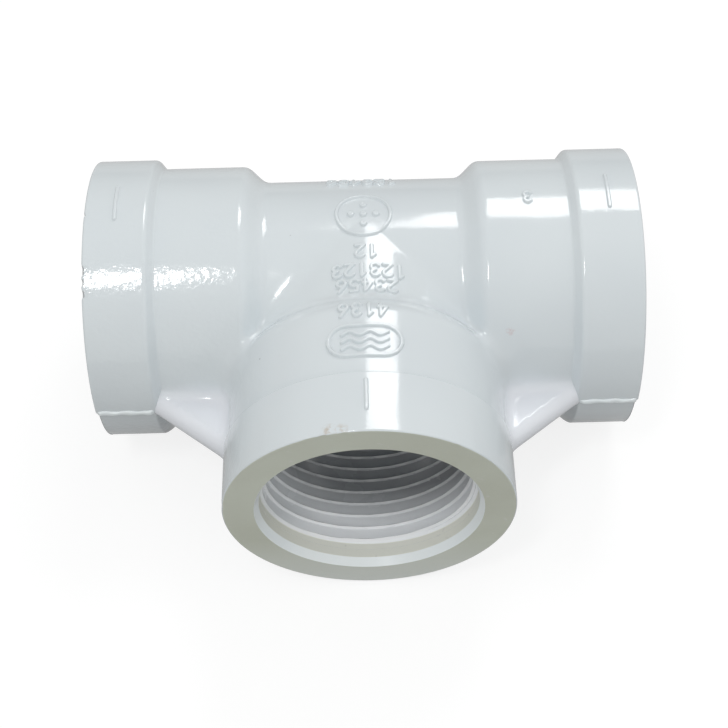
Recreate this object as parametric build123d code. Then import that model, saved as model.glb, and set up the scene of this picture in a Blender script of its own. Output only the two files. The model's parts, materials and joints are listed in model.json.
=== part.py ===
"""Plastic pipe tee, nominal 1 inch: slip sockets on the run and a female pipe thread on the branch.

Frame, in millimetres: the origin is where the run axis and the branch axis cross.
+X runs along the run to the right-hand socket, -Y points out of the branch mouth,
and +Z is the side that carries the raised marks.

The tee is one moulding. It is modelled as its natural features, which meet face to face:
every run feature stops at the two 45 degree mitre planes y = -|x|, and every branch
feature starts there, as in a mitred pipe joint.
"""
from build123d import *
from math import atan2, degrees
import os

# Pipe, sockets and waterway
SOCKET_R = 16.75
SOCKET_DEPTH = 22.2
WATERWAY_R = 14.0
MOUTH_R = 17.9
MOUTH_BEVEL = 1.2

# Run: half length, then radii and stations measured from the branch axis
RUN_HALF = 43.4
BARREL_R = 18.9
HUB_R = 21.6
BAND_R = 23.1
BARREL_END = 14.4
SHOULDER_START = 16.05
SHOULDER_END = 18.7
BAND_START = 32.0
BAND_GROOVE = 32.5
BAND_CREST = 33.7

# Branch: length, then radii and stations measured from the run axis
BRANCH_LENGTH = 42.4
BRANCH_HUB_R = 21.8
BRANCH_BAND_R = 22.5
NECK_END = 14.3
BRANCH_SHOULDER_START = 15.9
BRANCH_SHOULDER_END = 18.8
BRANCH_BAND_START = 32.0
BRANCH_FACE_R = 17.6

# Branch thread: 11.5 threads per inch
THREAD_PITCH = 25.4 / 11.5
THREAD_CREST_R = 15.9
THREAD_DEPTH = 1.15
THREAD_GROOVE_MOUTH = 1.3
THREAD_GROOVE_FLOOR = 0.3
THREAD_SLEEVE_R = 18.0
THREAD_START = 39.6
THREAD_END = 21.4
THREAD_GROOVES = 8
ENTRY_R = 16.9
ENTRY_DEPTH = 1.4

# Webs between the run sockets and the branch, and the flash line on the run bands
GUSSET_THICKNESS = 5.0
GUSSET_EDGE_ROUND = 2.2
RIDGE_WIDTH = 1.0
RIDGE_HEIGHT = 0.35

# Rounding of the moulding's corners
SHOULDER_ROUND = 2.0
BRANCH_SHOULDER_ROUND = 3.8
THROAT_ROUND = 1.6
CREST_ROUND = 0.6
BRANCH_CREST_ROUND = 1.6
GROOVE_ROUND = 0.9
BAND_ROUND = 0.9
RIM_ROUND = 0.4
STEP_ROUND = 0.2

# Raised marks
MARK_HEIGHT = 0.35
MARK_STROKE = 0.5
CROWN_ROW_ANGLE = 34
DIGIT_HEIGHT = 2.4
DIGIT_WIDTH = 1.3
DIGIT_SPACING = 1.95

# Strokes of each digit in a box 1.3 wide and 2.4 high: a line is two ends, and an arc is
# its centre, radius, start angle and sweep in degrees
DIGITS = {
    "1": [((0.3, 1.9), (0.75, 2.4)), ((0.75, 2.4), (0.75, 0))],
    "2": [((0.65, 1.75), 0.65, 160, -195), ((1.18, 1.38), (0, 0)), ((0, 0), (1.3, 0))],
    "3": [((0.6, 1.8), 0.58, 150, -240), ((0.6, 0.62), 0.62, 90, -240)],
    "4": [((0.95, 0), (0.95, 2.4)), ((0.95, 2.4), (0, 0.75)), ((0, 0.75), (1.3, 0.75))],
    "5": [((1.2, 2.4), (0.2, 2.4)), ((0.2, 2.4), (0.1, 1.35)), ((0.58, 0.72), 0.7, 130, -280)],
    "6": [
        ((1.05, 2.4), (0.12, 1.05)),
        ((0.65, 0.65), 0.65, 150, 200),
        ((0.65, 0.65), 0.65, 330, 200),
    ],
}


def profile(corners):
    """A closed section from (axial, radial, rounding) corners, with each rounding as an arc."""
    outline = make_face(Polyline(*[(a, r) for a, r, _ in corners], close=True))
    for a, r, rounding in corners:
        if rounding:
            corner = outline.vertices().sort_by_distance((a, r))[0]
            outline = fillet(corner, rounding)
    return outline


def turned_on_run(corners, side):
    """A section turned about the run axis, on the +X side or mirrored to the -X side."""
    solid = revolve(profile(corners), Axis.X)
    return solid if side > 0 else mirror(solid, Plane.YZ)


def turned_on_branch(corners):
    """The same, turned about the branch axis, with axial distances going to -Y."""
    return Rot(0, 0, -90) * revolve(profile(corners), Axis.X)


def branch_wedge():
    """The quarter of space that belongs to the branch: y below -|x|."""
    reach = 2 * BRANCH_LENGTH
    outline = make_face(Polyline((0, 0), (reach, -reach), (-reach, -reach), close=True))
    return extrude(outline, reach, both=True)


WEDGE = branch_wedge()


def run_barrel():
    """The plain tube between the two sockets, notched for the branch."""
    tube = Cylinder(BARREL_R, 2 * BARREL_END) - Cylinder(WATERWAY_R, 2 * BARREL_END)
    return Rot(0, 90, 0) * tube - WEDGE


def shoulder(side):
    """The cone from the barrel up to the socket, and inside it the step that stops the pipe."""
    seat = RUN_HALF - SOCKET_DEPTH
    corners = [
        (BARREL_END, WATERWAY_R, 0),
        (BARREL_END, BARREL_R, 0),
        (SHOULDER_START, BARREL_R, SHOULDER_ROUND),
        (SHOULDER_END, HUB_R, CREST_ROUND),
        (seat, HUB_R, 0),
        (seat, WATERWAY_R, RIM_ROUND),
    ]
    return turned_on_run(corners, side) - WEDGE


def socket_hub(side):
    """The socket's wall, from the stop inside it to the groove beside the end band."""
    seat = RUN_HALF - SOCKET_DEPTH
    corners = [
        (seat, SOCKET_R, 0),
        (seat, HUB_R, 0),
        (BAND_START, HUB_R, 0),
        (BAND_START, SOCKET_R, 0),
    ]
    return turned_on_run(corners, side) - WEDGE


def band_back():
    """The outer corners of a run band, from the hub's wall up the band's back to its crest."""
    return [
        (BAND_START, HUB_R, 0),
        (BAND_GROOVE, HUB_R, GROOVE_ROUND),
        (BAND_CREST, BAND_R, BAND_ROUND),
    ]


def end_band(side):
    """The thicker band round the socket's mouth, with a bevel that leads the pipe in."""
    mouth = [
        (RUN_HALF, BAND_R, RIM_ROUND),
        (RUN_HALF, MOUTH_R, STEP_ROUND),
        (RUN_HALF - MOUTH_BEVEL, SOCKET_R, 0),
        (BAND_START, SOCKET_R, 0),
    ]
    return turned_on_run(band_back() + mouth, side)


def branch_neck():
    """The branch's tube, from its mitre with the barrel to the branch shoulder."""
    tube = Cylinder(BARREL_R, NECK_END) - Cylinder(WATERWAY_R, NECK_END)
    return Pos(0, -NECK_END / 2, 0) * Rot(90, 0, 0) * tube & WEDGE


def branch_hub():
    """The cone and the wall round the thread, with the throat that narrows to the waterway."""
    throat = THREAD_END - (THREAD_CREST_R - WATERWAY_R)
    corners = [
        (NECK_END, WATERWAY_R, 0),
        (NECK_END, BARREL_R, 0),
        (BRANCH_SHOULDER_START, BARREL_R, BRANCH_SHOULDER_ROUND),
        (BRANCH_SHOULDER_END, BRANCH_HUB_R, BRANCH_CREST_ROUND),
        (BRANCH_BAND_START, BRANCH_HUB_R, 0),
        (BRANCH_BAND_START, THREAD_SLEEVE_R, 0),
        (THREAD_END, THREAD_SLEEVE_R, 0),
        (THREAD_END, THREAD_CREST_R, 0),
        (throat, WATERWAY_R, THROAT_ROUND),
    ]
    return turned_on_branch(corners) & WEDGE


def branch_end_band():
    """The band round the branch's mouth, with its flat face and the bevel into the thread."""
    corners = [
        (BRANCH_BAND_START, THREAD_SLEEVE_R, 0),
        (BRANCH_BAND_START, BRANCH_BAND_R, STEP_ROUND),
        (BRANCH_LENGTH, BRANCH_BAND_R, RIM_ROUND),
        (BRANCH_LENGTH, BRANCH_FACE_R, STEP_ROUND),
        (BRANCH_LENGTH - ENTRY_DEPTH, ENTRY_R, 0),
        (THREAD_START, ENTRY_R, 0),
        (THREAD_START, THREAD_SLEEVE_R, 0),
    ]
    return turned_on_branch(corners)


def branch_thread():
    """The thread's sleeve: a straight bore at the crests, with a groove at every pitch."""
    half_mouth = THREAD_GROOVE_MOUTH / 2
    half_floor = THREAD_GROOVE_FLOOR / 2
    root = THREAD_CREST_R + THREAD_DEPTH
    bore = [(THREAD_END, THREAD_CREST_R, 0)]
    for turn in range(THREAD_GROOVES):
        middle = THREAD_END + (turn + 0.5) * THREAD_PITCH
        bore += [
            (middle - half_mouth, THREAD_CREST_R, 0),
            (middle - half_floor, root, 0),
            (middle + half_floor, root, 0),
            (middle + half_mouth, THREAD_CREST_R, 0),
        ]
    bore += [
        (THREAD_START, THREAD_CREST_R, 0),
        (THREAD_START, THREAD_SLEEVE_R, 0),
        (THREAD_END, THREAD_SLEEVE_R, 0),
    ]
    return turned_on_branch(bore)


def gusset(side):
    """The web in the mid-plane that ties a socket's band to the branch band."""
    outline = [
        (0, 0),
        (-BAND_CREST, 0),
        (-BAND_CREST, -BAND_R),
        (-BRANCH_BAND_R, -BRANCH_BAND_START),
        (0, -BRANCH_BAND_START),
    ]
    web = extrude(make_face(Polyline(*outline, close=True)), GUSSET_THICKNESS / 2, both=True)
    sloping = [e for e in web.edges() if abs(e.tangent_at(0.5).X * e.tangent_at(0.5).Y) > 0.1]
    web = fillet(sloping, GUSSET_EDGE_ROUND)
    web -= Rot(0, 90, 0) * Cylinder(HUB_R, 2 * RUN_HALF)
    web -= Rot(90, 0, 0) * Cylinder(BRANCH_HUB_R, 2 * BRANCH_LENGTH)
    band = band_back() + [(RUN_HALF, BAND_R, 0), (RUN_HALF, 0, 0), (BAND_START, 0, 0)]
    web -= turned_on_run(band, -1)
    return web if side < 0 else mirror(web, Plane.YZ)


def parting_ridge(side):
    """The flash line that the mould's halves leave along the front of a run band."""
    length = RUN_HALF - BAND_CREST - 2 * RIM_ROUND
    middle = (RUN_HALF + BAND_CREST) / 2
    bar = Box(length, 2 * RIDGE_HEIGHT, RIDGE_WIDTH)
    ridge = Pos(side * middle, -BAND_R, 0) * fillet(bar.edges().filter_by(Axis.X), RIDGE_HEIGHT * 0.9)
    return ridge - Rot(0, 90, 0) * Cylinder(BAND_R, 2 * RUN_HALF)


def stroke(start, end, width=MARK_STROKE):
    """A straight stroke with round ends, drawn in the XY plane."""
    run = Vector(*end) - Vector(*start)
    middle = (Vector(*end) + Vector(*start)) / 2
    slope = degrees(atan2(run.Y, run.X))
    return Pos(middle.X, middle.Y) * Rot(0, 0, slope) * SlotCenterToCenter(run.length, width)


def digit(character):
    """A plain digit with its lower left corner at the origin."""
    drawing = Sketch()
    for line in DIGITS[character]:
        if len(line) == 2:
            drawing += stroke(*line)
        else:
            drawing += SlotArc(CenterArc(*line), MARK_STROKE)
    return drawing


def digits(text, centre, size=1.0):
    """A row of plain digits, read from the +Y side, centred on a point of the XY plane."""
    row = Sketch()
    for place, character in enumerate(text):
        left = (place - (len(text) - 1) / 2) * DIGIT_SPACING - DIGIT_WIDTH / 2
        row += Pos(left, -DIGIT_HEIGHT / 2) * digit(character)
    return Pos(*centre) * Rot(0, 0, 180) * resized(row, size)


def resized(drawing, factor):
    """The drawing made larger or smaller about the origin."""
    return drawing if factor == 1 else scale(drawing, by=factor)


def skin(radius, axis):
    """A thin shell on a cylinder about the run or branch axis, as deep as a mark is high."""
    turn = Rot(0, 90, 0) if axis == Axis.X else Rot(90, 0, 0)
    length = 2 * RUN_HALF
    return turn * (Cylinder(radius + MARK_HEIGHT, length) - Cylinder(radius, length))


def raised(drawing, shell):
    """A drawing stood up through the fitting's top side and kept where it lies in a shell."""
    return extrude(Pos(0, 0, BARREL_R / 2) * drawing, BARREL_R) & shell


MITRED_SKIN = (skin(BARREL_R, Axis.X) - WEDGE) + (skin(BARREL_R, Axis.Y) & WEDGE)


def ring(radius, centre, width=MARK_STROKE):
    """A circle drawn with one stroke."""
    return Pos(*centre) * (Circle(radius + width / 2) - Circle(radius - width / 2))


def round_badge():
    """A ring with a plain upright cross of dots in it, on the barrel's top."""
    centre = (0.2, 1.1)
    drawing = ring(4.3, centre)
    for dx, dy in [(0, 0), (2, 0), (-2, 0), (0, 2), (0, -2)]:
        drawing += Pos(centre[0] + dx, centre[1] + dy) * Circle(0.55)
    return raised(drawing, MITRED_SKIN)


def wave_plate():
    """A round-ended outline with three waves in it, on the branch hub's top."""
    middle = -26.0
    drawing = Pos(0, middle) * (SlotOverall(11.4, 6.0) - SlotOverall(10.4, 5.0))
    for row in (-1.3, 0, 1.3):
        for step in range(4):
            start = (-3.2 + 1.6 * step, middle + row - 0.35 * (-1) ** step)
            end = (-1.6 + 1.6 * step, middle + row + 0.35 * (-1) ** step)
            drawing += stroke(start, end, 0.42)
    return raised(drawing, skin(BRANCH_HUB_R, Axis.Y))


def crown_digits():
    """A row of digits round the back of the barrel's crown."""
    row = raised(digits("123456", (0, 0)), skin(BARREL_R, Axis.X))
    return Rot(-CROWN_ROW_ANGLE, 0, 0) * row


def tick(start, end, radius, axis):
    """A straight alignment mark on a band."""
    return raised(stroke(start, end), skin(radius, axis))


def build():
    """Every node of the tee, by name."""
    band_middle = (BAND_CREST + RUN_HALF) / 2
    nodes = {
        "run_barrel": run_barrel(),
        "branch_neck": branch_neck(),
        "branch_hub": branch_hub(),
        "branch_end_band": branch_end_band(),
        "branch_thread": branch_thread(),
        "round_badge": round_badge(),
        "wave_plate": wave_plate(),
        "crown_digits": crown_digits(),
        "digit_row_a": raised(digits("12", (0.5, -6.6)), MITRED_SKIN),
        "digit_row_b": raised(digits("123123", (0.8, -10.4)), MITRED_SKIN),
        "digit_row_c": raised(digits("23456", (0.5, -13.5)), skin(BARREL_R, Axis.Y)) - branch_hub(),
        "branch_tick": tick((0, -33.6), (0, -38.6), BRANCH_BAND_R, Axis.Y),
        "digit_row_d": raised(digits("4136", (-0.2, -20.3)), skin(BRANCH_HUB_R, Axis.Y)),
        "hub_digit": raised(digits("3", (26.1, 1.4), 0.9), skin(HUB_R, Axis.X)),
    }
    for name, side in (("left", -1), ("right", 1)):
        nodes[f"{name}_socket_hub"] = socket_hub(side)
        nodes[f"{name}_shoulder"] = shoulder(side)
        nodes[f"{name}_end_band"] = end_band(side)
        nodes[f"{name}_gusset"] = gusset(side)
        nodes[f"{name}_parting_ridge"] = parting_ridge(side)
        nodes[f"{name}_tick"] = tick((side * band_middle, 4.6), (side * band_middle, -2.2), BAND_R, Axis.X)
    return nodes


os.makedirs("parts", exist_ok=True)
for node, solid in build().items():
    export_step(solid, f"parts/{node}.step")
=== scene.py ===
"""Looks for the moulded PVC pipe tee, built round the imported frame.

Lengths are worked in millimetres and scaled to metres when a mesh is made.
"""
import json
from math import cos, sin

import bpy
import numpy as np
from mathutils import Matrix, Vector


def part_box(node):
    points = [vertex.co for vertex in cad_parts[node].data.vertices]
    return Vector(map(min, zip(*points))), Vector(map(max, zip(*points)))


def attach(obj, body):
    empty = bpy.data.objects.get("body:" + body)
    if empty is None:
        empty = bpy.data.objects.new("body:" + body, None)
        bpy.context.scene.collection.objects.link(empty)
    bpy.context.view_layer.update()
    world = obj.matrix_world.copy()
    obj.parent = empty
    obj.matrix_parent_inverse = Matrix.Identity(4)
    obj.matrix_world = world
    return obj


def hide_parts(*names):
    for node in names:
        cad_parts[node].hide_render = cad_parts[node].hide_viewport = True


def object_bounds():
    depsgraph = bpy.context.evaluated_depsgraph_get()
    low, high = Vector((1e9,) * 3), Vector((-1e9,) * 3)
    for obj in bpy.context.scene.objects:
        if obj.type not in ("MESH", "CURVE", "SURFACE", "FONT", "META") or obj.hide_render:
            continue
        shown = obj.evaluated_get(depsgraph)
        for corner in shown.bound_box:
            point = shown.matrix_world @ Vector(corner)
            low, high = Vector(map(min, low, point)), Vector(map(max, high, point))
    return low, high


MM = 0.001
SMALL = 1e-9

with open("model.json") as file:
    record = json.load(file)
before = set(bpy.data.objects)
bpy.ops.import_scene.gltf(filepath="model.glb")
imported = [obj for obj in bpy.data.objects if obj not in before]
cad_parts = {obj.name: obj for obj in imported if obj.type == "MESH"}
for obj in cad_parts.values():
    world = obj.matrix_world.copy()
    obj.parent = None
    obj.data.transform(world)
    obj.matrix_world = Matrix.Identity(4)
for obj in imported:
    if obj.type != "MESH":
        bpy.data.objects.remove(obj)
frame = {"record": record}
CAD_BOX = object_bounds()


# ---------------------------------------------------------------- sizes taken from the frame

def low(node, axis):
    """A node's lowest coordinate along x, y or z, in millimetres."""
    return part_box(node)[0]["xyz".index(axis)] / MM


def high(node, axis):
    """A node's highest coordinate along x, y or z, in millimetres."""
    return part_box(node)[1]["xyz".index(axis)] / MM


def mount_radius(name):
    """The radius that the record states for a round mount, in millimetres."""
    return next(m["dims"]["r_mm"] for m in frame["record"]["mounts"] if m["name"] == name)


BARREL_R = high("run_barrel", "z")
HUB_R = high("right_socket_hub", "z")
BAND_R = high("right_end_band", "z")
BARREL_END = high("run_barrel", "x")
SEAT = low("right_socket_hub", "x")
BAND_START = low("right_end_band", "x")
RUN_HALF = high("right_end_band", "x")
BRANCH_HUB_R = high("branch_hub", "z")
BRANCH_BAND_R = high("branch_end_band", "z")
NECK_END = -low("branch_neck", "y")
BRANCH_BAND_START = -high("branch_end_band", "y")
BRANCH_LENGTH = -low("branch_end_band", "y")
SLEEVE_R = high("branch_thread", "z")
THREAD_END = -high("branch_thread", "y")
THREAD_START = -low("branch_thread", "y")
WATERWAY_R = mount_radius("run_waterway")
SOCKET_R = mount_radius("right_run_socket")
CREST_R = mount_radius("branch_thread")

# Stations along the run and the branch that follow from the ones above
SHOULDER_START = BARREL_END + 1.65
SHOULDER_END = SHOULDER_START + (HUB_R - BARREL_R)
BRANCH_SHOULDER_START = NECK_END + 1.6
BRANCH_SHOULDER_END = BRANCH_SHOULDER_START + (BRANCH_HUB_R - BARREL_R)
BAND_GROOVE = BAND_START + 0.5
BAND_CREST = BAND_GROOVE + 1.2
THROAT = THREAD_END - (CREST_R - WATERWAY_R)

# Mouths of the sockets and the branch
RUN_BEVEL = 1.2
RUN_MOUTH_R = SOCKET_R + 1.15
BRANCH_BEVEL = 1.4
BRANCH_FACE_R = 17.6
LAND_R = 16.9
LAND_END = THREAD_START - 1.0

# The visual thread: thin ridges on a plain bore that widens towards the mouth
THREAD_PITCH = 25.4 / 11.5
THREAD_TAPER = 1 / 32
RIDGE_R = CREST_R - 0.35
RIDGE_HEIGHT = 0.4

# Widths of the blends where surfaces of the moulding meet
RUN_FOOT, RUN_CREST = 1.2, 0.8
BRANCH_FOOT, BRANCH_CREST = 3.0, 1.7
MITRE_BLEND = 6.5
GUSSET_BLEND = 1.8

# The gussets' flat sides fall away from the sloping edge, and the webs end inside the body
DISH_RIM, DISH_WIDTH, DISH_SLOPE = 1.0, 6.0, 0.11
WEB_BACK = -12.0

# The mismatch of the mould's halves, and notches in the rims as (angle, half-width, depth)
INSET = 0.45
RUN_NICKS = {-1: ((2.04, 0.030, 0.50), (2.12, 0.018, 0.46), (2.20, 0.022, 0.55), (1.62, 0.012, 0.2)), 1: ()}
BRANCH_CHIPS = (
    (1.86, 0.030, 0.22), (1.95, 0.05, 0.12), (1.72, 0.02, 0.14), (2.55, 0.03, 0.12),
    (0.62, 0.03, 0.2), (0.95, 0.02, 0.12), (3.05, 0.04, 0.15),
)


# ---------------------------------------------------------------- mesh helpers

def make_object(name, points, faces, normals=None, materials=()):
    """A smooth-shaded mesh object from points in millimetres, with its own vertex normals if given."""
    mesh = bpy.data.meshes.new(name)
    mesh.from_pydata((np.asarray(points) * MM).tolist(), [], [tuple(map(int, f)) for f in faces])
    mesh.update()
    mesh.shade_smooth()
    if normals is not None:
        mesh.normals_split_custom_set_from_vertices(np.asarray(normals).tolist())
    for material in materials:
        mesh.materials.append(material)
    made = bpy.data.objects.new(name, mesh)
    bpy.context.scene.collection.objects.link(made)
    return made


def unit(vectors):
    """The vectors scaled to length one."""
    return vectors / np.maximum(np.linalg.norm(vectors, axis=-1, keepdims=True), SMALL)


def smooth_min(a, b, width):
    """The lower of two fields, blended where they are closer than width."""
    mix = np.maximum(width - np.abs(a - b), 0.0) / np.maximum(width, SMALL)
    return np.minimum(a, b) - mix * mix * width / 4


def smooth_max(a, b, width):
    """The higher of two fields, blended where they are closer than width."""
    return -smooth_min(-a, -b, width)


def soft_min(a, b, width):
    """Like smooth_min, with a blend whose curvature has no jumps, so that reflections flow over it."""
    mix = np.maximum(width - np.abs(a - b), 0.0) / np.maximum(width, SMALL)
    return np.minimum(a, b) - mix ** 3 * width / 6


def smoothstep(edge0, edge1, x):
    """0 below edge0, 1 above edge1 and an S-curve between."""
    t = np.clip((x - edge0) / (edge1 - edge0), 0.0, 1.0)
    return t * t * (3 - 2 * t)


# ---------------------------------------------------------------- the moulded body, as a field

def stepped_radius(distance, start, end, low_r, high_r, foot, crest):
    """A wall that climbs a straight cone from low_r at start to high_r at end, with eased corners."""
    cone = low_r + (distance - start) * (high_r - low_r) / (end - start)
    return smooth_min(-soft_min(np.full_like(cone, -low_r), -cone, foot), high_r, crest)


def gusset_field(x, y, z):
    """Distance from the mid-plane web on either side, which is rounded right round its sloping edge."""
    start = np.array([BAND_CREST, -BAND_R])
    end = np.array([BRANCH_BAND_R, -BRANCH_BAND_START])
    along = unit(end - start)
    outward = np.array([-along[1], along[0]])
    if outward @ np.array([1.0, -1.0]) < 0:
        outward = -outward
    half = high("right_gusset", "z")
    edge = (np.abs(x) - start[0]) * outward[0] + (y - start[1]) * outward[1]
    rim = np.hypot(np.maximum(edge + half, 0), z) - half
    dished = half - DISH_SLOPE * np.clip(-edge - DISH_RIM, 0, DISH_WIDTH)
    web = np.maximum(rim, np.abs(z) - dished)
    ends = np.maximum(np.abs(x) - BAND_CREST - 0.8, -y - BRANCH_BAND_START - 0.7)
    return np.maximum(np.maximum(web, ends), y - WEB_BACK)


def outer_field(x, y, z):
    """Distance, about, from the outside of the barrel, shoulders, sockets, branch and webs."""
    from_run = np.hypot(y, z)
    from_branch = np.hypot(x, z)
    start, end = SHOULDER_START, SHOULDER_END
    run = from_run - stepped_radius(np.abs(x), start, end, BARREL_R, HUB_R, RUN_FOOT, RUN_CREST)
    run = np.maximum(run, np.abs(x) - BAND_CREST - 0.6)
    start, end = BRANCH_SHOULDER_START, BRANCH_SHOULDER_END
    wall = stepped_radius(-y, start, end, BARREL_R, BRANCH_HUB_R, BRANCH_FOOT, BRANCH_CREST)
    branch = np.maximum(from_branch - wall, y)
    branch = np.maximum(branch, -y - BRANCH_BAND_START - 0.6)
    facing = z * z / np.maximum(from_run * from_branch, SMALL)
    joined = soft_min(run, branch, MITRE_BLEND * np.clip(1 - facing, 0, 1))
    return smooth_min(joined, gusset_field(x, y, z), GUSSET_BLEND)


def hollow_field(x, y, z):
    """Distance, about, from the waterway, the socket bores and the space that the thread fills."""
    from_run = np.hypot(y, z)
    from_branch = np.hypot(x, z)
    side = np.abs(x)
    waterway = np.minimum(from_run - WATERWAY_R, np.maximum(from_branch - WATERWAY_R, y))
    widening = np.clip(-y - THROAT, 0, THREAD_END - THROAT)
    throat = np.maximum(from_branch - WATERWAY_R - widening, y + THROAT - 1)
    socket = np.maximum(from_run - SOCKET_R, SEAT - side)
    under_band = np.maximum(from_run - SOCKET_R - 0.3, BAND_START + 0.2 - side)
    thread_room = np.maximum(from_branch - SLEEVE_R + 0.2, THREAD_END + 0.1 + y)
    hollow = smooth_min(waterway, throat, 0.6)
    hollow = smooth_min(hollow, socket, 0.5)
    return np.minimum(np.minimum(hollow, under_band), thread_room)


def body_field(points):
    """Negative inside the plastic of the moulded body."""
    x, y, z = points[..., 0], points[..., 1], points[..., 2]
    return smooth_max(outer_field(x, y, z), -hollow_field(x, y, z), 0.3)


def gradient(field, points, step=0.01):
    """The field's slope at each point, by central differences."""
    parts = []
    for axis in range(3):
        shift = np.zeros(3)
        shift[axis] = step
        parts.append((field(points + shift) - field(points - shift)) / (2 * step))
    return np.stack(parts, -1)


def surface_net(field, lowest, highest, step):
    """A quad mesh of a field's zero surface: one point in each grid cell that the surface crosses."""
    axes = [np.arange(a, b + step, step) for a, b in zip(lowest, highest)]
    value = field(np.stack(np.meshgrid(*axes, indexing="ij"), -1))
    cells = tuple(n - 1 for n in value.shape)
    total = np.zeros(cells + (3,))
    count = np.zeros(cells)
    window = [slice(0, -1), slice(1, None)]
    for axis in range(3):
        others = [a for a in range(3) if a != axis]
        for b in (0, 1):
            for c in (0, 1):
                near = [None] * 3
                near[others[0]], near[others[1]] = window[b], window[c]
                far = list(near)
                near[axis], far[axis] = window[0], window[1]
                v0, v1 = value[tuple(near)], value[tuple(far)]
                crossed = (v0 < 0) != (v1 < 0)
                share = np.where(crossed, v0 / np.where(crossed, v0 - v1, 1), 0)
                total[..., axis] += share
                total[..., others[0]] += crossed * b
                total[..., others[1]] += crossed * c
                count += crossed
    used = count > 0
    index = np.full(cells, -1)
    index[used] = np.arange(used.sum())
    corner = np.argwhere(used)
    points = np.array(lowest) + step * (corner + total[used] / count[used][:, None])
    faces = []
    for axis in range(3):
        b, c = [a for a in range(3) if a != axis]
        near = [slice(1, -1)] * 3
        near[axis] = slice(0, -1)
        far = list(near)
        far[axis] = slice(1, None)
        v0, v1 = value[tuple(near)], value[tuple(far)]
        at = np.argwhere((v0 < 0) != (v1 < 0))
        leaving = (v0 < 0)[tuple(at.T)]
        base = at + np.array([0 if a == axis else 1 for a in range(3)])
        ring = []
        for db, dc in ((0, 0), (-1, 0), (-1, -1), (0, -1)):
            cell = base.copy()
            cell[:, b] += db
            cell[:, c] += dc
            ring.append(index[tuple(cell.T)])
        quad = np.stack(ring, -1)
        flip = leaving == (axis == 1)
        quad[flip] = quad[flip][:, ::-1]
        faces.append(quad)
    return points, np.concatenate(faces)


def settle(field, points, reach):
    """Points moved onto the field's zero surface, each by no more than reach."""
    start = points.copy()
    for _ in range(4):
        slope = gradient(field, points)
        size = np.maximum((slope ** 2).sum(-1, keepdims=True), 0.05)
        points = points - field(points)[:, None] * slope / size
        drift = points - start
        length = np.maximum(np.linalg.norm(drift, axis=-1, keepdims=True), SMALL)
        points = start + drift * np.minimum(1, reach / length)
    return points


def moulded_body(material, throat):
    """Barrel, shoulders, sockets, branch neck, branch hub and webs, flowing into each other."""
    step = 0.5
    off_grid = 0.13
    reach_x = BAND_CREST + 1.5
    lowest = (-reach_x - off_grid, -BRANCH_BAND_START - 1.5, -HUB_R - 1.2)
    highest = (reach_x, HUB_R + 1.2, HUB_R + 1.2)
    points, faces = surface_net(body_field, lowest, highest, step)
    points = settle(body_field, points, step)
    normals = unit(gradient(body_field, points))
    body = make_object("moulded_body", points, faces, normals, [material, throat])
    # Faces inside the branch's bore take the throat material, which carries painted shade
    throat_top = -12.5
    middle = points[faces].mean(1)
    inside = (np.hypot(middle[:, 0], middle[:, 2]) < CREST_R + 0.4) & (middle[:, 1] < throat_top)
    body.data.polygons.foreach_set("material_index", inside.astype(np.int32))
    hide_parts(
        "run_barrel", "left_shoulder", "right_shoulder", "left_socket_hub", "right_socket_hub",
        "branch_neck", "branch_hub", "left_gusset", "right_gusset",
    )
    return body


# ---------------------------------------------------------------- turned pieces

def rounded(corners):
    """A closed outline from (axial, radial, rounding) corners, as points and outward normals.

    The corners go round anticlockwise, and a tangent arc cuts each one off.
    """
    steps = 8
    spots = np.array([corner[:2] for corner in corners], float)
    points, normals = [], []
    for i, spot in enumerate(spots):
        arriving = unit(spot - spots[i - 1])
        leaving = unit(spots[(i + 1) % len(spots)] - spot)
        turn = np.arctan2(arriving[0] * leaving[1] - arriving[1] * leaving[0], arriving @ leaving)
        radius = corners[i][2]
        side = np.sign(turn)
        first = np.array([arriving[1], -arriving[0]])
        centre = spot - arriving * radius * np.tan(abs(turn) / 2) - side * first * radius
        for angle in np.linspace(0, turn, steps):
            c, n = np.cos(angle), np.sin(angle)
            normal = np.array([first[0] * c - first[1] * n, first[0] * n + first[1] * c])
            points.append(centre + side * normal * radius)
            normals.append(normal)
    return np.array(points), np.array(normals)


def denser(points, normals, spacing):
    """The closed outline with its long straight runs divided into steps of about the spacing."""
    more_points, more_normals = [], []
    for i in range(len(points)):
        j = (i + 1) % len(points)
        count = max(1, int(np.ceil(np.linalg.norm(points[j] - points[i]) / spacing)))
        for t in np.arange(count) / count:
            more_points.append(points[i] * (1 - t) + points[j] * t)
            more_normals.append(normals[i] * (1 - t) + normals[j] * t)
    return np.array(more_points), unit(np.array(more_normals))


def round_the_axis(axial, radial, angle, axis, sign):
    """Points at an axial distance and radius, turned by an angle round the run or branch axis."""
    c, s = np.cos(angle), np.sin(angle)
    along = sign * axial + 0 * c
    return np.stack([along, radial * c, radial * s] if axis == "x" else [radial * c, along, radial * s], -1)


def ring_faces(around, along, flip):
    """Quads over a grid of points that closes up both round the axis and along the outline."""
    i, j = np.meshgrid(np.arange(around), np.arange(along), indexing="ij")
    i2, j2 = (i + 1) % around, (j + 1) % along
    quads = np.stack([i * along + j, i * along + j2, i2 * along + j2, i2 * along + j], -1).reshape(-1, 4)
    return quads[:, ::-1] if flip else quads


def lathe(name, outline, axis, sign, material, wear):
    """A closed ring turned from an outline round the run or branch axis, and cut back by its wear."""
    points, normals = outline
    segments = 480
    angle = np.arange(segments)[:, None] * 2 * np.pi / segments
    surface = round_the_axis(points[:, 0], points[:, 1], angle, axis, sign)
    facing = round_the_axis(normals[:, 0], normals[:, 1], angle, axis, sign)
    surface = surface - facing * wear(points[:, 0], points[:, 1], angle)[..., None]
    flip = (sign > 0) != (axis == "x")
    faces = ring_faces(segments, len(points), flip)
    return make_object(name, surface.reshape(-1, 3), faces, facing.reshape(-1, 3), [material])


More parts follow.
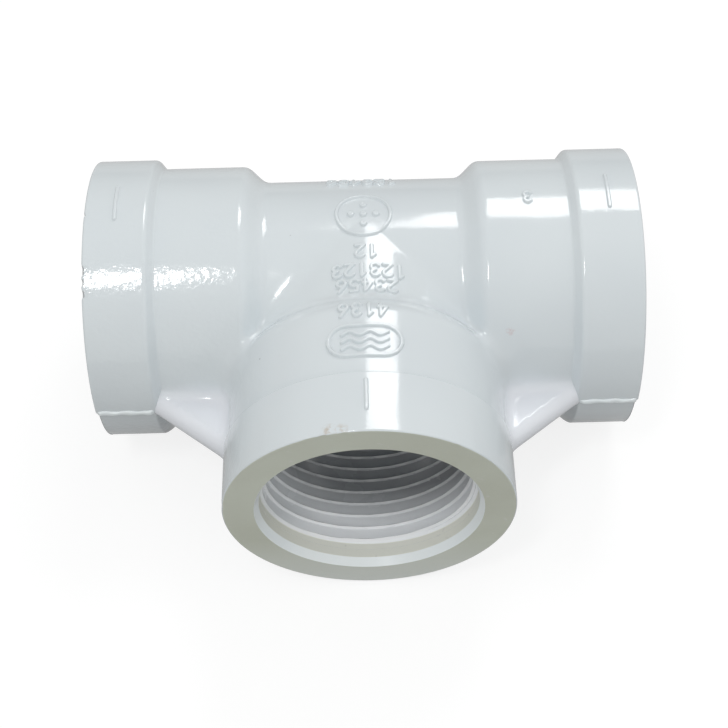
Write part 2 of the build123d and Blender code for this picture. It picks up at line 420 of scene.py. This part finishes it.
def notched(cut, near_rim, angle, notches):
    """A cut that is deepened by flat-bottomed notches where the rim is near."""
    for middle, half_width, depth in notches:
        cut = np.maximum(cut, depth * near_rim * np.exp(-((angle - middle) / half_width) ** 4))
    return cut


def run_band_wear(sign):
    """How far a run band's outside is cut back: the inset below the parting line, and the nicks."""

    def wear(axial, radial, angle):
        below = angle - np.pi
        inset = INSET * smoothstep(0.0, 0.02, below) * (1 - smoothstep(0.5, 1.4, below))
        on_band = smoothstep(BAND_GROOVE + 0.2, BAND_CREST, axial) * smoothstep(HUB_R, HUB_R + 0.8, radial)
        near_rim = smoothstep(RUN_HALF - 1.1, RUN_HALF - 0.1, axial)
        near_rim = near_rim * smoothstep(BAND_R - 1.3, BAND_R - 0.4, radial)
        return notched(inset * on_band, near_rim, angle, RUN_NICKS[sign])

    return wear


def run_end_band(name, sign, material):
    """The thick band round a socket's mouth, with its groove, rounded rim and bevelled bore."""
    corners = [
        (BAND_START - 0.4, SOCKET_R - 0.03, 0.03),
        (RUN_HALF - RUN_BEVEL, SOCKET_R, 0.3),
        (RUN_HALF, RUN_MOUTH_R, 0.25),
        (RUN_HALF, BAND_R, 0.4),
        (BAND_CREST, BAND_R, 0.9),
        (BAND_GROOVE, HUB_R - 0.02, 0.9),
        (BAND_START + 0.1, HUB_R - 0.08, 0.05),
    ]
    outline = denser(*rounded(corners), 0.8)
    band = lathe(name, outline, "x", sign, material, run_band_wear(sign))
    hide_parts(name)
    return band


def rim_chips(axial, radial, angle):
    """How far the branch band is cut back: a few shallow chips along the rim's outer corner."""
    near_rim = smoothstep(BRANCH_LENGTH - 0.9, BRANCH_LENGTH - 0.1, axial)
    near_rim = near_rim * smoothstep(BRANCH_BAND_R - 0.9, BRANCH_BAND_R - 0.2, radial)
    return notched(np.zeros(np.broadcast(near_rim, angle).shape), near_rim, angle, BRANCH_CHIPS)


def branch_end_band(materials):
    """The band round the branch's mouth: rim, matte face, bevel and the land before the thread."""
    corners = [
        (BRANCH_BAND_START, SLEEVE_R, 0.1),
        (THREAD_START, SLEEVE_R, 0.02),
        (THREAD_START, LAND_R, 0.02),
        (BRANCH_LENGTH - BRANCH_BEVEL, LAND_R, 0.12),
        (BRANCH_LENGTH, BRANCH_FACE_R, 0.12),
        (BRANCH_LENGTH, BRANCH_BAND_R, 0.3),
        (BRANCH_BAND_START, BRANCH_BAND_R, 0.25),
    ]
    outline = denser(*rounded(corners), 1.0)
    band = lathe("branch_end_band", outline, "y", -1, materials[0], rim_chips)
    for material in materials[1:]:
        band.data.materials.append(material)
    for face in band.data.polygons:
        x, y, z = face.center / MM
        from_axis = np.hypot(x, z)
        if face.normal.y < -0.9 and -y > BRANCH_LENGTH - 0.2:
            face.material_index = 1
        elif from_axis < LAND_R + 0.05 and -y > THREAD_START + 0.1:
            face.material_index = 2
        # The bevel takes the pale material, a painted highlight
        elif from_axis < BRANCH_FACE_R and -y > BRANCH_LENGTH - BRANCH_BEVEL:
            face.material_index = 3
    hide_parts("branch_end_band")
    return band


def branch_thread(materials):
    """The female pipe thread: a tapered right-hand helix inside a plain sleeve, behind a short land."""
    around = 224
    per_pitch = 24
    stations = int((THREAD_START - THREAD_END) / THREAD_PITCH * per_pitch)
    along = np.linspace(THREAD_END, THREAD_START, stations)
    angle = np.arange(around)[:, None] * 2 * np.pi / around
    phase = (along / THREAD_PITCH + angle / (2 * np.pi)) % 1
    from_crest = 1 - np.abs(phase * 2 - 1)
    crest = RIDGE_R + (along - THREAD_END) * THREAD_TAPER
    bore = crest + RIDGE_HEIGHT * smoothstep(0.04, 0.24, from_crest)
    bore = np.maximum(bore, LAND_R - np.maximum(LAND_END - along, 0) * 1.1)
    inner = round_the_axis(along, bore, angle, "y", -1)
    back = np.array([THREAD_START, THREAD_END])
    outer = round_the_axis(back, np.full(2, SLEEVE_R), angle, "y", -1)
    points = np.concatenate([inner, outer], 1)
    faces = ring_faces(around, points.shape[1], False)
    thread = make_object("branch_thread", points.reshape(-1, 3), faces, None, materials)
    for face in thread.data.polygons:
        x, y, z = face.center / MM
        turned = (-y / THREAD_PITCH + np.arctan2(z, x) / (2 * np.pi)) % 1
        if -y > LAND_END - 0.05 and np.hypot(x, z) < LAND_R + 0.1:
            face.material_index = 1
        # Faces near the crests take the paler crest material, a painted highlight
        elif abs(turned - 0.5) > 0.40 and np.hypot(x, z) < SLEEVE_R - 0.5:
            face.material_index = 2
    thread.data.set_sharp_from_angle(angle=np.radians(40))
    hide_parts("branch_thread")
    return thread


# ---------------------------------------------------------------- raised marks

MARK_HEIGHT = 0.46
TICK_HEIGHT = 0.38
STROKE = 0.56
GRAIN = 0.07
SINK = 0.03
ROOT_DEPTH = 0.12
DIGIT_WIDTH = 1.3
DIGIT_HEIGHT = 2.4
DIGIT_SPACING = 1.95


def arc(cx, cy, radius, start, end, steps=10):
    """Points along an arc, with its angles in degrees."""
    angle = np.radians(np.linspace(start, end, steps))
    return [(cx + radius * np.cos(a), cy + radius * np.sin(a)) for a in angle]


def digit_lines(digit):
    """A plain digit's strokes as polylines in a box 1.3 wide and 2.4 high, from its lower left."""
    return {
        "1": [[(0.3, 1.9), (0.75, 2.4), (0.75, 0)]],
        "2": [arc(0.65, 1.75, 0.65, 160, -35) + [(0, 0), (1.3, 0)]],
        "3": [arc(0.6, 1.8, 0.58, 150, -90) + arc(0.6, 0.62, 0.62, 90, -150)],
        "4": [[(0.95, 0), (0.95, 2.4), (0, 0.75), (1.3, 0.75)]],
        "5": [[(1.2, 2.4), (0.2, 2.4), (0.1, 1.35)] + arc(0.58, 0.72, 0.7, 130, -150)],
        "6": [[(1.05, 2.4), (0.12, 1.05)] + arc(0.65, 0.65, 0.65, 150, 510, 18)],
    }[digit]


def digit_row(text, centre, scale=1.0):
    """Polylines of a row of digits that reads from the +Y side, centred on a point."""
    lines = []
    for place, digit in enumerate(text):
        left = (place - (len(text) - 1) / 2) * DIGIT_SPACING - DIGIT_WIDTH / 2
        for line in digit_lines(digit):
            spots = np.array(line)
            x = centre[0] - (left + spots[:, 0]) * scale
            y = centre[1] + (DIGIT_HEIGHT / 2 - spots[:, 1]) * scale
            lines.append(np.stack([x, y], -1))
    return lines


def distance_to_lines(lines, x, y):
    """Distance from each grid point to the nearest of the polylines."""
    nearest = np.full(x.shape, 1e3)
    for line in lines:
        for (x0, y0), (x1, y1) in zip(line[:-1], line[1:]):
            run = np.array([x1 - x0, y1 - y0])
            t = np.clip(((x - x0) * run[0] + (y - y0) * run[1]) / max(run @ run, SMALL), 0, 1)
            nearest = np.minimum(nearest, np.hypot(x - x0 - t * run[0], y - y0 - t * run[1]))
    return nearest


def stamp(name, lines, material, field, start_height, tilt=0.0, proud=MARK_HEIGHT):
    """Strokes raised on a field's surface: a closed, soft-edged skin that stands proud along the lines.

    The lines are drawn in a plane that is level, or tilted round the run axis, and dropped onto the surface.
    """
    reach = STROKE + 0.25
    spots = np.concatenate([np.asarray(line) for line in lines])
    x, y = np.meshgrid(
        np.arange(spots[:, 0].min() - reach, spots[:, 0].max() + reach, GRAIN),
        np.arange(spots[:, 1].min() - reach, spots[:, 1].max() + reach, GRAIN), indexing="ij",
    )
    turn = np.array(Matrix.Rotation(-tilt, 3, "X"))
    height = np.full(x.shape, float(start_height))
    for _ in range(6):
        points = np.stack([x, y, height], -1) @ turn.T
        slope = gradient(field, points) @ turn[:, 2]
        height = height - field(points) / np.maximum(slope, 0.2)
    points = np.stack([x, y, height], -1) @ turn.T
    away = unit(gradient(field, points))
    from_line = distance_to_lines(lines, x, y)
    rise = proud * (1 - smoothstep(STROKE * 0.3, STROKE * 0.68, from_line)) - SINK
    top = points + away * rise[..., None]
    bottom = points - away * ROOT_DEPTH
    kept = from_line < STROKE * 0.7 + GRAIN * 1.5
    rows, columns = x.shape
    index = np.arange(rows * columns).reshape(rows, columns)
    whole = kept[:-1, :-1] & kept[1:, :-1] & kept[1:, 1:] & kept[:-1, 1:]
    quads = np.stack([index[:-1, :-1], index[1:, :-1], index[1:, 1:], index[:-1, 1:]], -1)[whole]
    edges = np.concatenate([quads[:, [k, (k + 1) % 4]] for k in range(4)])
    keys = edges[:, 0] * rows * columns + edges[:, 1]
    rim = edges[~np.isin(keys, edges[:, 1] * rows * columns + edges[:, 0])]
    size = rows * columns
    walls = np.stack([rim[:, 1], rim[:, 0], rim[:, 0] + size, rim[:, 1] + size], -1)
    faces = np.concatenate([quads, quads[:, ::-1] + size, walls])
    used, compact = np.unique(faces, return_inverse=True)
    both = np.concatenate([top.reshape(-1, 3), bottom.reshape(-1, 3)])[used]
    mark = make_object(name, both, compact.reshape(-1, 4), None, [material])
    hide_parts(name)
    return mark


def body_skin(points):
    """The outside of the moulded body, for marks to sit on."""
    return outer_field(points[..., 0], points[..., 1], points[..., 2])


def run_band_skin(points):
    """The outside of the run's end bands."""
    return np.hypot(points[..., 1], points[..., 2]) - BAND_R


def branch_band_skin(points):
    """The outside of the branch's end band."""
    return np.hypot(points[..., 0], points[..., 2]) - BRANCH_BAND_R


def badge_lines():
    """A ring with five dots in it."""
    middle = (0.2, 1.1)
    dots = [(0, 0), (2, 0), (-2, 0), (0, 2), (0, -2)]
    lines = [arc(middle[0], middle[1], 4.3, 0, 360, 60)]
    return lines + [arc(middle[0] + dx, middle[1] + dy, 0.3, 0, 360, 8) for dx, dy in dots]


def plate_lines():
    """A round-ended outline with three waves in it."""
    middle = -26.0
    outline = arc(2.7, middle, 2.75, -90, 90) + arc(-2.7, middle, 2.75, 90, 270) + [(2.7, middle - 2.75)]
    across = np.linspace(-3.4, 3.4, 40)
    waves = [[(x, middle + row + 0.33 * np.sin(x * 2.1)) for x in across] for row in (-1.3, 0, 1.3)]
    return [outline] + waves


def raised_marks(material):
    """Every raised mark: badge, plate, rows of digits and alignment ticks."""
    tick_x = (BAND_CREST + RUN_HALF) / 2
    branch_line = [[(0, -33.6), (0, -38.6)]]
    marks = [
        stamp("round_badge", badge_lines(), material, body_skin, BARREL_R),
        stamp("wave_plate", plate_lines(), material, body_skin, BRANCH_HUB_R),
        stamp("crown_digits", digit_row("123456", (0, 0)), material, body_skin, BARREL_R, np.radians(34)),
        stamp("digit_row_a", digit_row("12", (0.5, -6.6)), material, body_skin, BARREL_R),
        stamp("digit_row_b", digit_row("123123", (0.8, -10.4)), material, body_skin, BARREL_R),
        stamp("digit_row_c", digit_row("23456", (0.5, -13.5)), material, body_skin, BARREL_R),
        stamp("digit_row_d", digit_row("4136", (-0.2, -20.3)), material, body_skin, BRANCH_HUB_R),
        stamp("hub_digit", digit_row("3", (26.1, 1.4), 0.9), material, body_skin, HUB_R),
        stamp("branch_tick", branch_line, material, branch_band_skin, BRANCH_BAND_R, 0, TICK_HEIGHT),
    ]
    for name, sign in (("left", -1), ("right", 1)):
        line = [[(sign * tick_x, 4.6), (sign * tick_x, -2.2)]]
        marks.append(stamp(f"{name}_tick", line, material, run_band_skin, BAND_R, 0, TICK_HEIGHT))
    return marks


def parting_ridge(name, sign, material, seed):
    """The thin uneven flash line along the front of a run band."""
    draw = np.random.default_rng(seed)
    along = np.linspace(BAND_CREST + 0.3, RUN_HALF - 0.35, 60)
    wander = np.cumsum(draw.normal(0, 0.02, along.size))
    wander -= np.linspace(0, wander[-1], along.size)
    height = 0.34 * (0.85 + 0.15 * np.sin(along * 2.3 + seed)) * smoothstep(0, 0.5, along - along[0])
    height *= smoothstep(0, 0.4, along[-1] - along)
    across = np.linspace(-1, 1, 13)
    half = 0.50 + 0.08 * np.sin(along * 1.7 + 2 * seed)
    z = wander[:, None] + across * half[:, None]
    lift = height[:, None] * (1 - np.abs(across) ** 4) - 0.02
    top = np.stack([sign * along[:, None] + 0 * z, -np.sqrt(BAND_R ** 2 - z ** 2) - lift, z], -1)
    under = top + np.array([0, 0.7, 0])
    points = np.concatenate([top, under[:, ::-1]], 1)
    rows, columns = points.shape[:2]
    i, j = np.meshgrid(np.arange(rows - 1), np.arange(columns), indexing="ij")
    j2 = (j + 1) % columns
    quads = np.stack([i * columns + j, i * columns + j2, (i + 1) * columns + j2, (i + 1) * columns + j], -1)
    caps = [list(range(columns))[::-1], [(rows - 1) * columns + k for k in range(columns)]]
    faces = quads.reshape(-1, 4).tolist() + caps
    if sign > 0:
        faces = [face[::-1] for face in faces]
    ridge = make_object(name, points.reshape(-1, 3), faces, None, [material])
    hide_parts(name)
    return ridge


# ---------------------------------------------------------------- materials

def node_material(name):
    """A new material with only its output and a Principled shader: (material, nodes, links, shader)."""
    material = bpy.data.materials.new(name)
    material.use_nodes = True
    nodes, links = material.node_tree.nodes, material.node_tree.links
    return material, nodes, links, nodes["Principled BSDF"]


def noise(nodes, links, coordinates, scale, detail):
    """A noise texture's value output at a scale per metre."""
    texture = nodes.new("ShaderNodeTexNoise")
    texture.inputs["Scale"].default_value = scale
    texture.inputs["Detail"].default_value = detail
    links.new(coordinates, texture.inputs["Vector"])
    return texture.outputs["Fac"]


def remap(nodes, links, value, from_min, from_max, to_min, to_max):
    """A value mapped from one range onto another and held inside it."""
    node = nodes.new("ShaderNodeMapRange")
    ends = {"From Min": from_min, "From Max": from_max, "To Min": to_min, "To Max": to_max}
    for name, number in ends.items():
        node.inputs[name].default_value = number
    links.new(value, node.inputs["Value"])
    return node.outputs["Result"]


def multiply(nodes, links, first, second):
    """The product of two values."""
    node = nodes.new("ShaderNodeMath")
    node.operation = "MULTIPLY"
    links.new(first, node.inputs[0])
    links.new(second, node.inputs[1])
    return node.outputs[0]


def mix_colour(nodes, links, factor, first, second):
    """One colour mixed towards another by a factor; each is a colour or an output."""
    node = nodes.new("ShaderNodeMix")
    node.data_type = "RGBA"
    links.new(factor, node.inputs["Factor"])
    for socket, colour in ((node.inputs[6], first), (node.inputs[7], second)):
        if isinstance(colour, tuple):
            socket.default_value = colour
        else:
            links.new(colour, socket)
    return node.outputs[2]


def bump(nodes, links, height, strength, distance, onto=None):
    """A bump node's normal output, over another one's if given."""
    node = nodes.new("ShaderNodeBump")
    node.inputs["Strength"].default_value = strength
    node.inputs["Distance"].default_value = distance
    links.new(height, node.inputs["Height"])
    if onto is not None:
        links.new(onto, node.inputs["Normal"])
    return node.outputs["Normal"]


def separate(nodes, links, place):
    """A place's X, Y and Z outputs."""
    node = nodes.new("ShaderNodeSeparateXYZ")
    links.new(place, node.inputs[0])
    return node.outputs


# Colours of the plastic, of what tints it, and of the painted light and shade on it
PVC_LIGHT = (0.77, 0.82, 0.845, 1)
PVC_SHADE = (0.74, 0.79, 0.82, 1)
# Painted light that pales the gussets
WEB_PAINTED_LIGHT = (0.90, 0.92, 0.97, 1)
# Painted shade down the branch's bore, lighter on the thread's crests than on its walls
PAINTED_BORE_SHADE = (0.29, 0.295, 0.31, 1)
PAINTED_CREST_SHADE = (0.39, 0.40, 0.41, 1)
SPECK = (0.10, 0.09, 0.08, 1)
SCUFF = (0.72, 0.72, 0.68, 1)

# Stains as (place, radius, colour), in millimetres
STAINS = (
    ((-5.4, -41.9, 22.0), 1.5, (0.50, 0.38, 0.26, 1)),
    ((-3.6, -41.9, 22.3), 1.2, (0.52, 0.42, 0.31, 1)),
    ((22.6, -17.8, 12.2), 0.9, (0.62, 0.40, 0.40, 1)),
)


def stain_cover(nodes, links, coordinates, place, radius):
    """A ragged spot's cover, from 1 at its place to 0 beyond its radius, both in millimetres."""
    away = nodes.new("ShaderNodeVectorMath")
    away.operation = "DISTANCE"
    links.new(coordinates, away.inputs[0])
    away.inputs[1].default_value = [c * MM for c in place]
    near = remap(nodes, links, away.outputs["Value"], 0, radius * MM, 1, 0)
    ragged = remap(nodes, links, noise(nodes, links, coordinates, 1300, 3), 0.42, 0.62, 0, 0.8)
    return multiply(nodes, links, near, ragged)


def speck_cover(nodes, links, coordinates, amount):
    """The cover of stray specks: the middles of small cells, where a slower noise is high."""
    cells = nodes.new("ShaderNodeTexVoronoi")
    cells.inputs["Scale"].default_value = 260
    links.new(coordinates, cells.inputs["Vector"])
    near = remap(nodes, links, cells.outputs["Distance"], 0.0, 0.05, 1, 0)
    rare = remap(nodes, links, noise(nodes, links, coordinates, 150, 0), 0.69, 0.72, 0, amount)
    return multiply(nodes, links, near, rare)


def painted_bore_shade(nodes, links, coordinates):
    """How much painted shade falls down the branch's bore: 0 at the mouth, 1 far down the bore, sooner on
    the right, and 0 again at the run.
    """
    slanted = nodes.new("ShaderNodeVectorMath")
    slanted.operation = "DOT_PRODUCT"
    links.new(coordinates, slanted.inputs[0])
    slanted.inputs[1].default_value = (0.15, 1, 0)
    depth = remap(nodes, links, slanted.outputs["Value"], -35.2 * MM, -28.5 * MM, 0, 1)
    y = separate(nodes, links, coordinates)["Y"]
    return multiply(nodes, links, depth, remap(nodes, links, y, -18 * MM, -13 * MM, 1, 0))


def painted_web_light(nodes, links, coordinates):
    """How much painted light the gussets get: 1 on the gussets, fading out above and behind them."""
    place = separate(nodes, links, coordinates)
    under = remap(nodes, links, place["Z"], 2.2 * MM, 5.0 * MM, 1, 0)
    front = remap(nodes, links, place["Y"], -22.5 * MM, -19.0 * MM, 1, 0)
    return multiply(nodes, links, under, front)


def coarseness(nodes, links, coordinates):
    """How coarse the moulded skin is: 1 at the left side's front, and less elsewhere."""
    place = separate(nodes, links, coordinates)
    left = remap(nodes, links, place["X"], -24 * MM, -16 * MM, 1, 0)
    front = remap(nodes, links, place["Y"], -5 * MM, 3 * MM, 1, 0)
    return remap(nodes, links, multiply(nodes, links, left, front), 0, 1, 0.22, 1)


def moulded_normal(nodes, links, coordinates, undulation):
    """A moulded surface's broad undulation, its ripple and its orange peel, one over the other."""
    coarse = coarseness(nodes, links, coordinates)
    normal = bump(nodes, links, noise(nodes, links, coordinates, 70, 1), undulation, 0.0008)
    for scale, strength, distance in ((260, 0.42, 0.00012), (1100, 0.6, 0.00008)):
        height = multiply(nodes, links, noise(nodes, links, coordinates, scale, 2), coarse)
        normal = bump(nodes, links, height, strength, distance, normal)
    return normal


def white_pvc(name, light, shade, gloss, undulation, speck_amount, bore_shade=None, webs=None):
    """Injection-moulded PVC with faint mottling, a bumpy gloss and stray specks.

    It can paint shade down the branch's bore, darkening it towards a given colour, and paint light on the
    gussets, paling them towards another.
    """
    material, nodes, links, shader = node_material(name)
    coordinates = nodes.new("ShaderNodeTexCoord").outputs["Object"]
    cloud = remap(nodes, links, noise(nodes, links, coordinates, 45, 2), 0.35, 0.65, 0, 1)
    colour = mix_colour(nodes, links, cloud, light, shade)
    colour = mix_colour(nodes, links, speck_cover(nodes, links, coordinates, speck_amount), colour, SPECK)
    # Painted shade: the colour darkens down the branch's bore, sooner on the right
    if bore_shade is not None:
        colour = mix_colour(nodes, links, painted_bore_shade(nodes, links, coordinates), colour, bore_shade)
    # Painted light: the gussets' colour is paled as if lit
    if webs is not None:
        colour = mix_colour(nodes, links, painted_web_light(nodes, links, coordinates), colour, webs)
    for place, radius, tint in STAINS:
        cover = stain_cover(nodes, links, coordinates, place, radius)
        colour = mix_colour(nodes, links, cover, colour, tint)
    links.new(colour, shader.inputs["Base Color"])
    patches = noise(nodes, links, coordinates, 120, 4)
    links.new(remap(nodes, links, patches, 0.3, 0.7, *gloss), shader.inputs["Roughness"])
    normal = moulded_normal(nodes, links, coordinates, undulation)
    links.new(normal, shader.inputs["Normal"])
    links.new(normal, shader.inputs["Coat Normal"])
    shader.inputs["IOR"].default_value = 1.53
    shader.inputs["Coat Weight"].default_value = 0.45
    shader.inputs["Coat Roughness"].default_value = 0.07
    return material


def cut_face(name, light, shade, below):
    """Duller, warmer plastic with small scuffs, and painted light that pales it towards the bottom, as on
    the branch's end face.
    """
    material, nodes, links, shader = node_material(name)
    coordinates = nodes.new("ShaderNodeTexCoord").outputs["Object"]
    cloud = remap(nodes, links, noise(nodes, links, coordinates, 60, 3), 0.3, 0.7, 0, 1)
    colour = mix_colour(nodes, links, cloud, light, shade)
    z = separate(nodes, links, coordinates)["Z"]
    # Painted light: the colour pales towards the bottom, as if lit by light bounced up from below
    colour = mix_colour(nodes, links, remap(nodes, links, z, -8 * MM, -21 * MM, 0, 1), colour, below)
    scuff = remap(nodes, links, noise(nodes, links, coordinates, 700, 2), 0.70, 0.76, 0, 0.5)
    colour = mix_colour(nodes, links, scuff, colour, SCUFF)
    links.new(colour, shader.inputs["Base Color"])
    fine = noise(nodes, links, coordinates, 1500, 3)
    links.new(remap(nodes, links, fine, 0.3, 0.7, 0.42, 0.6), shader.inputs["Roughness"])
    links.new(bump(nodes, links, fine, 0.25, 0.0001), shader.inputs["Normal"])
    shader.inputs["IOR"].default_value = 1.5
    return material


def pvc_gloss():
    """The polished outside of the bands and the marks."""
    return white_pvc("pvc_gloss", PVC_LIGHT, PVC_SHADE, (0.09, 0.17), 0.25, 0.8)


def pvc_body():
    """The polished outside of the moulded body, with painted light paling its gussets."""
    return white_pvc("pvc_body", PVC_LIGHT, PVC_SHADE, (0.09, 0.17), 0.25, 0.8, webs=WEB_PAINTED_LIGHT)


def pvc_throat_painted_shade():
    """The bore between the thread and the run, darkened away from the mouth as painted shade."""
    return white_pvc("pvc_throat_painted_shade", PVC_LIGHT, PVC_SHADE, (0.15, 0.25), 0.25, 0.4, PAINTED_BORE_SHADE)


def pvc_thread_painted_light_and_shade():
    """The satin walls of the threaded bore, painted paler than the body as painted light near the mouth, and
    darkened down the bore as painted shade.
    """
    light, shade = (0.95, 0.97, 1.0, 1), (0.91, 0.94, 0.97, 1)
    return white_pvc("pvc_thread_painted_light_and_shade", light, shade, (0.18, 0.30), 0.2, 0.4, PAINTED_BORE_SHADE)


def pvc_crest_painted_highlight():
    """The thread's crests: painted highlights, paler than the walls, with painted shade down the bore that
    stays lighter than the walls'.
    """
    light, shade = (0.93, 0.94, 0.96, 1), (0.89, 0.91, 0.94, 1)
    return white_pvc("pvc_crest_painted_highlight", light, shade, (0.18, 0.30), 0.2, 0.2, PAINTED_CREST_SHADE)


def pvc_painted_highlight():
    """Painted highlight: a pale copy of the plastic on the bevel at the branch's mouth and on the flash
    along the parting line.
    """
    light, shade = (0.94, 0.99, 1.0, 1), (0.91, 0.97, 1.0, 1)
    return white_pvc("pvc_painted_highlight", light, shade, (0.30, 0.40), 0.2, 0.2)


def pvc_end_face():
    """The warm grey end face of the branch."""
    return cut_face("pvc_end_face", (0.69, 0.72, 0.63, 1), (0.61, 0.63, 0.54, 1), (0.76, 0.79, 0.75, 1))


def pvc_land():
    """The plain land between the bevel and the thread."""
    return cut_face("pvc_land", (0.93, 0.93, 0.85, 1), (0.86, 0.87, 0.78, 1), (0.90, 0.91, 0.84, 1))


# ---------------------------------------------------------------- stage, lights and camera

def floor():
    """A wide pale floor under the tee, brighter to the camera and in reflections than as a light."""
    bottom = CAD_BOX[0].z / MM
    reach, count = 3000, 13
    across = np.linspace(-reach, reach, count)
    x, y = np.meshgrid(across, across, indexing="ij")
    points = np.stack([x, y, np.full_like(x, bottom)], -1).reshape(-1, 3)
    i, j = np.meshgrid(np.arange(count - 1), np.arange(count - 1), indexing="ij")
    quads = np.stack([i * count + j, (i + 1) * count + j, (i + 1) * count + j + 1, i * count + j + 1], -1)
    material, nodes, links, shader = node_material("studio_floor")
    coordinates = nodes.new("ShaderNodeTexCoord").outputs["Object"]
    cloud = noise(nodes, links, coordinates, 3, 2)
    colour = mix_colour(nodes, links, cloud, (0.24, 0.24, 0.24, 1), (0.27, 0.27, 0.27, 1))
    links.new(colour, shader.inputs["Base Color"])
    shader.inputs["Roughness"].default_value = 0.9
    shader.inputs["Specular IOR Level"].default_value = 0.1
    shader.inputs["Emission Color"].default_value = (1, 1, 1, 1)
    rays = nodes.new("ShaderNodeLightPath").outputs
    glow = nodes.new("ShaderNodeMath")
    links.new(remap(nodes, links, rays["Is Camera Ray"], 0, 1, 0, 0.8), glow.inputs[0])
    links.new(remap(nodes, links, rays["Is Glossy Ray"], 0, 1, 0, 0.3), glow.inputs[1])
    links.new(glow.outputs[0], shader.inputs["Emission Strength"])
    plane = make_object("studio_floor", points, quads.reshape(-1, 4), None, [material])


def softbox(name, place, width, height, power):
    """A rectangular area light at a place in millimetres, facing the tee."""
    light = bpy.data.lights.new(name, "AREA")
    light.shape = "RECTANGLE"
    light.size, light.size_y = width * MM, height * MM
    light.energy = power
    lamp = bpy.data.objects.new(name, light)
    lamp.location = Vector(place) * MM
    lamp.rotation_mode = "QUATERNION"
    lamp.rotation_quaternion = (-lamp.location).to_track_quat("-Z", "Y")
    bpy.context.scene.collection.objects.link(lamp)


def surround():
    """A cool world light that is broad and soft, with its own brightness towards each side."""
    lobes = {(0, 0, 1): 0.55, (0, -1, 0): 0.86, (0, 1, 0): 0.30, (-1, 0, 0): 0.70, (1, 0, 0): 0.90}
    world = bpy.data.worlds.new("surround")
    world.use_nodes = True
    nodes, links = world.node_tree.nodes, world.node_tree.links
    direction = nodes.new("ShaderNodeTexCoord").outputs["Generated"]
    total = None
    for way, brightness in lobes.items():
        towards = nodes.new("ShaderNodeVectorMath")
        towards.operation = "DOT_PRODUCT"
        towards.inputs[1].default_value = way
        links.new(direction, towards.inputs[0])
        level = towards.outputs["Value"]
        for operation, number in (("MAXIMUM", 0), ("POWER", 2), ("MULTIPLY", brightness)):
            step = nodes.new("ShaderNodeMath")
            step.operation = operation
            step.inputs[1].default_value = number
            links.new(level, step.inputs[0])
            level = step.outputs[0]
        if total is not None:
            add = nodes.new("ShaderNodeMath")
            links.new(total, add.inputs[0])
            links.new(level, add.inputs[1])
            level = add.outputs[0]
        total = level
    links.new(total, nodes["Background"].inputs["Strength"])
    nodes["Background"].inputs["Color"].default_value = (0.99, 1.0, 0.99, 1)
    bpy.context.scene.world = world


def lights():
    """A key light behind and to the right, a softer one in front to the left, and the surround."""
    softbox("key_back_right", (140, 410, 565), 245, 250, 1.05)
    softbox("fill_front_left", (-160, -260, 650), 60, 165, 0.62)
    softbox("fill_fading", (-114, -260, 650), 32, 150, 0.10)
    surround()
    bpy.context.scene.view_settings.view_transform = "Standard"


def camera():
    """The camera: in front of the branch, looking down at 54 degrees, with a slight roll."""
    azimuth, elevation, roll = np.radians([0.31, 54.28, -1.72]).tolist()
    distance, aside, above = 257.66, -0.03, -11.91
    back = Vector((sin(azimuth) * cos(elevation), -cos(azimuth) * cos(elevation), sin(elevation)))
    right = Vector((cos(azimuth), sin(azimuth), 0))
    up = back.cross(right)
    tilted_right = cos(roll) * right + sin(roll) * up
    tilted_up = cos(roll) * up - sin(roll) * right
    data = bpy.data.cameras.new("camera")
    data.sensor_width = 36
    data.lens = 75.6
    made = bpy.data.objects.new("camera", data)
    place = (back * distance + tilted_right * aside + tilted_up * above) * MM
    axes = Matrix((tilted_right, tilted_up, back)).transposed()
    made.matrix_world = Matrix.Translation(place) @ axes.to_4x4()
    bpy.context.scene.collection.objects.link(made)
    bpy.context.scene.camera = made


# ---------------------------------------------------------------- the tee

def build():
    """Every piece of the tee, each riding the one rigid body."""
    # bevel is the pale painted-highlight material, used on the mouth's bevel and on the parting flashes
    gloss, land, bevel = pvc_gloss(), pvc_land(), pvc_painted_highlight()
    pieces = [
        moulded_body(pvc_body(), pvc_throat_painted_shade()),
        run_end_band("left_end_band", -1, gloss),
        run_end_band("right_end_band", 1, gloss),
        branch_end_band([gloss, pvc_end_face(), land, bevel]),
        parting_ridge("left_parting_ridge", -1, bevel, 3),
        parting_ridge("right_parting_ridge", 1, bevel, 8),
    ]
    pieces += raised_marks(gloss)
    thread = branch_thread([pvc_thread_painted_light_and_shade(), land, pvc_crest_painted_highlight()])
    for piece in pieces + [thread]:
        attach(piece, "root")


build()
floor()
lights()
camera()
